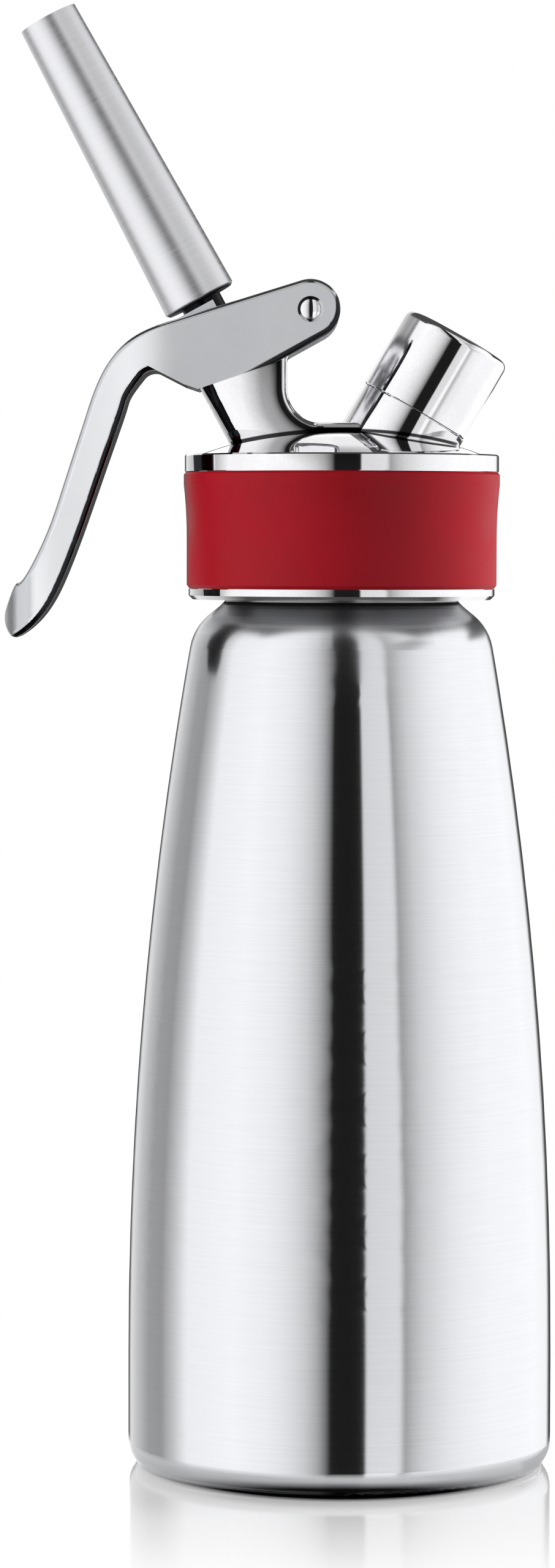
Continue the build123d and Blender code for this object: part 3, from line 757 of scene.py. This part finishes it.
def thread(name, body, slot, material, root, crest, width, pitch, turns, start, base, lean):
    """The ridge of a screw thread, in mm: its section stands on the wall at radius root and reaches
    to crest, is wound up the axis from height start, and sinks into the wall at both ends."""
    sink = THREAD_SINK if crest > root else -THREAD_SINK
    foot, depth = root - sink, crest - root + sink
    middle = (foot + depth / 2) * MM
    bpy.ops.object.select_all(action="DESELECT")
    bpy.ops.mesh.primitive_plane_add(size=1.0, rotation=(pi / 2, 0.0, 0.0))
    piece = bpy.context.object
    piece.name = name
    piece.scale = (abs(depth) * MM, width * MM, 1.0)
    piece.location = (middle, 0.0, start * MM)
    bpy.ops.object.transform_apply(location=True, rotation=True, scale=True)
    # the section narrows from its foot to its crest
    select_vertices(piece, lambda co: (co.x > middle) == (depth > 0))
    bpy.ops.transform.resize(
        value=(1.0, 1.0, CREST_SHARE), center_override=(crest * MM, 0.0, start * MM)
    )
    # wound up as an open tube
    bpy.ops.mesh.select_all(action="SELECT")
    bpy.ops.mesh.delete(type="ONLY_FACE")
    bpy.ops.object.mode_set(mode="OBJECT")
    winding = piece.modifiers.new("winding", "SCREW")
    winding.axis = "Z"
    winding.angle = 2 * pi
    winding.screw_offset = pitch * MM
    winding.iterations = turns
    winding.steps = winding.render_steps = THREAD_STEPS
    winding.use_smooth_shade = False
    bpy.ops.object.modifier_apply(modifier=winding.name)
    # both ends are closed and pushed into the wall
    first_end = (start + END_REACH * pitch) * MM
    last_end = (start + (turns - END_REACH) * pitch) * MM
    for at_end in (lambda co: co.z < first_end, lambda co: co.z > last_end):
        select_vertices(piece, lambda co: abs(co.y) < ON_PLANE and co.x > 0 and at_end(co))
        bpy.ops.mesh.edge_face_add()
        bpy.ops.transform.translate(value=(-depth * MM, 0.0, 0.0))
    bpy.ops.mesh.select_all(action="SELECT")
    bpy.ops.mesh.normals_make_consistent(inside=False)
    bpy.ops.object.mode_set(mode="OBJECT")
    bpy.ops.object.shade_smooth_by_angle(angle=SMOOTH_ANGLE)
    piece.rotation_euler = (0.0, radians(lean), 0.0)
    piece.location = base
    bpy.ops.object.transform_apply(location=True, rotation=True, scale=True)
    piece.data.materials.append(material)
    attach(piece, body)


# The head screws on the bottle with a coarse thread: ridges outside the neck, and inside the head.
NECK_THREAD = {"width": 2.0, "pitch": 3.0, "turns": 5, "base": BOTTLE_BASE, "lean": 0.0}
thread(
    "bottle_thread",
    "bottle_body",
    "bottle_steel",
    turned_steel,
    root=23.4,
    crest=24.2,
    start=176.6,
    **NECK_THREAD,
)
thread(
    "head_thread",
    "head_body",
    "polished_steel",
    turned_steel,
    root=24.5,
    crest=23.7,
    start=178.1,
    **NECK_THREAD,
)
# The cap screws on the port, and the tip on the stem.
thread(
    "port_thread",
    "head_body",
    "polished_steel",
    turned_steel,
    root=9.4,
    crest=9.7,
    width=0.8,
    pitch=1.25,
    turns=6,
    start=-15.5,
    base=PORT_BASE,
    lean=PORT_LEAN,
)
thread(
    "stem_thread",
    "valve_body",
    "turned_steel",
    stem_steel,
    root=4.0,
    crest=4.25,
    width=0.7,
    pitch=1.0,
    turns=7,
    start=1.0,
    base=TIP_BASE,
    lean=TIP_LEAN,
)


# ---------------------------------------------------------------- return spring

# The return spring stands on its washer in the head. It is a merged copy of the coil.
MERGED_WITHIN = 0.001 * MM
bpy.ops.object.select_all(action="DESELECT")
spring = nodes["valve_spring"].copy()
spring.data = nodes["valve_spring"].data.copy()
for key in list(spring.keys()):
    del spring[key]
spring.name = "return_spring"
bpy.context.scene.collection.objects.link(spring)
bpy.context.view_layer.objects.active = spring
spring.select_set(True)
bpy.ops.object.mode_set(mode="EDIT")
bpy.ops.mesh.select_all(action="SELECT")
bpy.ops.mesh.remove_doubles(threshold=MERGED_WITHIN)
bpy.ops.object.mode_set(mode="OBJECT")
bpy.ops.object.shade_smooth_by_angle(angle=SMOOTH_ANGLE)
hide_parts("valve_spring")
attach(spring, "head_body")
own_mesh(spring)


# ---------------------------------------------------------------- room

# A direction in the room goes by its parts x and z, or by one of these angles in degrees:
# "azimuth" round the room, 0 where the camera stands and 90 on the right;
# "over_top" from the camera's side, 0, over the ceiling, 90, to the back, 180;
# "aside" from straight up, 0, to level on either side, 90.

# White walls all round, with a dark gap where the camera stands, a narrow grey one beside it and a
# wide grey one to the left: (azimuth, brightness).
WALLS = (
    (-180, 0.95),
    (-160, 0.8),
    (-142, 0.57),
    (-128, 0.38),
    (-114, 0.35),
    (-103, 0.62),
    (-92, 1.0),
    (-60, 1.08),
    (-41, 1.0),
    (-33, 0.93),
    (-26, 0.83),
    (-19.5, 0.7),
    (-13, 0.48),
    (-8, 0.2),
    (-5.8, 0.012),
    (13.0, 0.012),
    (13.6, 0.76),
    (32.0, 0.82),
    (35, 0.38),
    (38.5, 0.5),
    (46, 0.7),
    (54, 0.82),
    (62, 0.92),
    (72, 1.0),
    (90, 1.08),
    (130, 1.12),
    (155, 1.0),
    (180, 0.9),
)
# Lower down on the right the walls are white, with one thin grey line, which the leaning port
# mirrors.
LOW_WALLS = (
    (-180, 1.0),
    (13.6, 1.05),
    (30.0, 1.05),
    (33.0, 0.5),
    (36.0, 0.6),
    (41.0, 0.9),
    (60.0, 1.0),
    (180, 1.0),
)
LOW_RIGHT = (
    ("z", ((-1, 1), (-0.21, 1), (-0.185, 0), (1, 0))),
    ("azimuth", ((-180, 0), (13, 0), (13.6, 1), (100, 1), (120, 0), (180, 0))),
)
# Panels over the walls, each over the ones before it: its brightness, and its bounds by one or
# more measures of the direction. It shows where all of its bounds are 1.
BEHIND = ("azimuth", ((-180, 1), (-168, 1), (-160, 0), (154, 0), (162, 1), (180, 1)))
RIGHT_HALF = ("x", ((-1, 0), (0.1, 0), (0.14, 1), (1, 1)))
PANELS = (
    # straight down it is dark: the table's edge is near
    (0.08, (("z", ((-1, 1), (-0.78, 1), (-0.6, 0), (1, 0))),)),
    # the back of the room is dark behind the table, up to a little above it
    (0.07, (BEHIND, ("z", ((-1, 0), (-0.3, 0), (-0.24, 1), (0.1, 1), (0.14, 0), (1, 0))))),
    # the ceiling is dark in a broad strip from over the camera to the back of the room
    (
        0.07,
        (
            ("over_top", ((-180, 0), (62, 0), (72, 1), (138, 1), (147, 0), (180, 0))),
            ("aside", ((-180, 0), (-1, 0), (0, 1), (46, 1), (54, 0), (180, 0))),
        ),
    ),
    # the wall just above the table glows, so the table mirrors it white and the bottle greyer
    (1.5, (BEHIND, ("z", ((-1, 0), (0.12, 0), (0.16, 1), (0.3, 1), (0.4, 0), (1, 0))))),
    # a narrow dark panel high at the back gives the tip its dark right edge
    (
        0.07,
        (
            ("over_top", ((-180, 0), (142, 0), (148, 1), (177, 1), (180, 0))),
            ("aside", ((-180, 0), (30, 0), (36, 1), (66, 1), (71, 0), (180, 0))),
            RIGHT_HALF,
        ),
    ),
    # a grey panel high on the right dims the tip's right half
    (
        0.42,
        (
            ("over_top", ((-180, 0), (28, 0), (34, 1), (52, 1), (75, 0), (180, 0))),
            ("aside", ((-180, 0), (48, 0), (52, 1), (62, 1), (66, 0), (180, 0))),
            RIGHT_HALF,
        ),
    ),
)
ROOM_STRENGTH = 1.05

world = bpy.data.worlds.new("white_studio")
bpy.context.scene.world = world
world.use_nodes = True
sky = world.node_tree
sky.nodes.clear()
direction = add(sky, "ShaderNodeTexCoord").outputs["Generated"]
x, y, z = add(sky, "ShaderNodeSeparateXYZ", inputs={0: direction}).outputs
towards = add(sky, "ShaderNodeMath", {"operation": "MULTIPLY"}, {0: y, 1: -1.0}).outputs[0]
sideways = add(sky, "ShaderNodeMath", {"operation": "ABSOLUTE"}, {0: x}).outputs[0]
measures = {"x": x, "z": z}
for name, rise, run in (
    ("azimuth", x, towards),
    ("over_top", z, towards),
    ("aside", sideways, z),
):
    angle = add(sky, "ShaderNodeMath", {"operation": "ARCTAN2"}, {0: rise, 1: run}).outputs[0]
    measures[name] = add(
        sky, "ShaderNodeMath", {"operation": "MULTIPLY"}, {0: angle, 1: 180 / pi}
    ).outputs[0]


def hung_in(room, light, bounds):
    """The room's light with a panel hung in it. Its own light is a colour or a socket."""
    shares = [graded(sky, stops, measures[measure]) for measure, stops in bounds]
    return add(
        sky,
        "ShaderNodeMix",
        {"data_type": "RGBA"},
        {"Factor": overlap(sky, *shares), COLOUR_A: room, COLOUR_B: light},
    ).outputs[COLOUR_OUT]


room = graded(sky, WALLS, measures["azimuth"])
room = hung_in(room, graded(sky, LOW_WALLS, measures["azimuth"]), LOW_RIGHT)
for brightness, bounds in PANELS:
    room = hung_in(room, (brightness, brightness, brightness, 1.0), bounds)
# the camera itself sees plain white behind the object
lit = add(sky, "ShaderNodeBackground", inputs={"Color": room, "Strength": ROOM_STRENGTH})
plain = add(sky, "ShaderNodeBackground", inputs={"Color": WHITE, "Strength": 1.0})
seen = add(sky, "ShaderNodeLightPath").outputs["Is Camera Ray"]
shown = add(
    sky, "ShaderNodeMixShader", inputs={0: seen, 1: lit.outputs[0], 2: plain.outputs[0]}
)
add(sky, "ShaderNodeOutputWorld", inputs={"Surface": shown.outputs[0]})


# ---------------------------------------------------------------- floor

# The floor is a pale round card that is whole up to one radius and fades out at another. What is
# mirrored in the bottle is only the middle of it, so the bottle's bands run down to its foot.
SEEN_SOLID_R, SEEN_R = 0.06, 0.13
MIRRORED_SOLID_R, MIRRORED_R = 0.05, 0.058
CARD_CORNERS = 96
CARD_ROUGHNESS = 0.06
# The painted shadow under the roll of the foot is widest at the front, so it is squeezed sideways.
SHADE_SQUEEZE = (1.15, 1.0, 1.0)
# The card's colour and its own light, by the squeezed radius in metres: both fall to nearly
# nothing round the foot, a painted contact shadow.
CARD_COLOUR_AND_SHADOW = ((0.0, 0.002), (0.0425, 0.002), (0.0455, 0.28), (0.1, 0.28))
CARD_GLOW_AND_SHADOW = ((0.0, 0.0), (0.0425, 0.0), (0.0465, 0.28), (0.053, 0.36), (0.1, 0.36))

bpy.ops.object.select_all(action="DESELECT")
bpy.ops.mesh.primitive_circle_add(
    vertices=CARD_CORNERS, radius=SEEN_R, fill_type="NGON", location=(0.0, 0.0, 0.0)
)
floor = bpy.context.object
floor.name = "studio_floor"
# Smooth coated card: white, and glossy enough to mirror the foot, with a painted shadow round it.
white_card, tree = empty_material("white_card")
place = add(tree, "ShaderNodeTexCoord").outputs["Object"]
far = add(tree, "ShaderNodeVectorMath", {"operation": "LENGTH"}, {0: place}).outputs["Value"]
squeezed = add(
    tree, "ShaderNodeVectorMath", {"operation": "MULTIPLY"}, {0: place, 1: SHADE_SQUEEZE}
).outputs[0]
from_foot = add(
    tree, "ShaderNodeVectorMath", {"operation": "LENGTH"}, {0: squeezed}
).outputs["Value"]
card = add(
    tree,
    "ShaderNodeBsdfPrincipled",
    inputs={
        "Base Color": graded(tree, CARD_COLOUR_AND_SHADOW, from_foot),
        "Roughness": CARD_ROUGHNESS,
        "Emission Color": WHITE,
        "Emission Strength": graded(tree, CARD_GLOW_AND_SHADOW, from_foot),
    },
)
mirrored_fade, seen_fade = [
    add(
        tree, "ShaderNodeMapRange", inputs={"Value": far, "From Min": solid, "From Max": gone}
    ).outputs[0]
    for solid, gone in ((MIRRORED_SOLID_R, MIRRORED_R), (SEEN_SOLID_R, SEEN_R))
]
to_camera = add(tree, "ShaderNodeLightPath").outputs["Is Camera Ray"]
fade = add(
    tree,
    "ShaderNodeMix",
    inputs={"Factor": to_camera, NUMBER_A: mirrored_fade, NUMBER_B: seen_fade},
).outputs[NUMBER_OUT]
nothing = add(tree, "ShaderNodeBsdfTransparent")
faded = add(
    tree, "ShaderNodeMixShader", inputs={0: fade, 1: card.outputs[0], 2: nothing.outputs[0]}
)
add(tree, "ShaderNodeOutputMaterial", inputs={"Surface": faded.outputs[0]})
floor.data.materials.append(white_card)


# ---------------------------------------------------------------- lamps

# Two broad lamps model the matt pieces from the sides; polished steel mirrors the walls alone.
# Each has its place in metres and its power in watts, and shines at the bottle's neck.
LAMP_SIZE = 0.5
LAMP_AIM = Vector((0.0, 0.0, 0.18))
LAMPS = (
    ("lamp_left", (-1.0, -0.35, 0.45), 10.0),
    ("lamp_right", (1.0, 0.25, 0.4), 15.0),
)
for name, place, power in LAMPS:
    lamp_data = bpy.data.lights.new(name, "AREA")
    lamp_data.shape = "SQUARE"
    lamp_data.size = LAMP_SIZE
    lamp_data.energy = power
    lamp = bpy.data.objects.new(name, lamp_data)
    bpy.context.scene.collection.objects.link(lamp)
    lamp.location = place
    lamp.rotation_euler = (Vector(place) - LAMP_AIM).to_track_quat("Z", "Y").to_euler()
    lamp.visible_camera = False
    lamp.visible_glossy = False


# ---------------------------------------------------------------- camera

# A long lens about a metre away, looking slightly down, with a trace of roll in radians.
CAMERA_PLACE = (-0.01272, -1.047, 0.18566)
CAMERA_DOWN = radians(2.684)
CAMERA_ROLL = 0.0022
CAMERA_LENS_MM = 120.0
CAMERA_NEAR, CAMERA_FAR = 0.05, 20.0
camera_data = bpy.data.cameras.new("camera")
camera = bpy.data.objects.new("camera", camera_data)
bpy.context.scene.collection.objects.link(camera)
camera_data.lens = CAMERA_LENS_MM
camera_data.clip_start = CAMERA_NEAR
camera_data.clip_end = CAMERA_FAR
camera.location = CAMERA_PLACE
camera.rotation_euler = (
    Matrix.Rotation(pi / 2 - CAMERA_DOWN, 4, "X") @ Matrix.Rotation(CAMERA_ROLL, 4, "Z")
).to_euler()
bpy.context.scene.camera = camera
bpy.context.scene.view_settings.view_transform = "Standard"
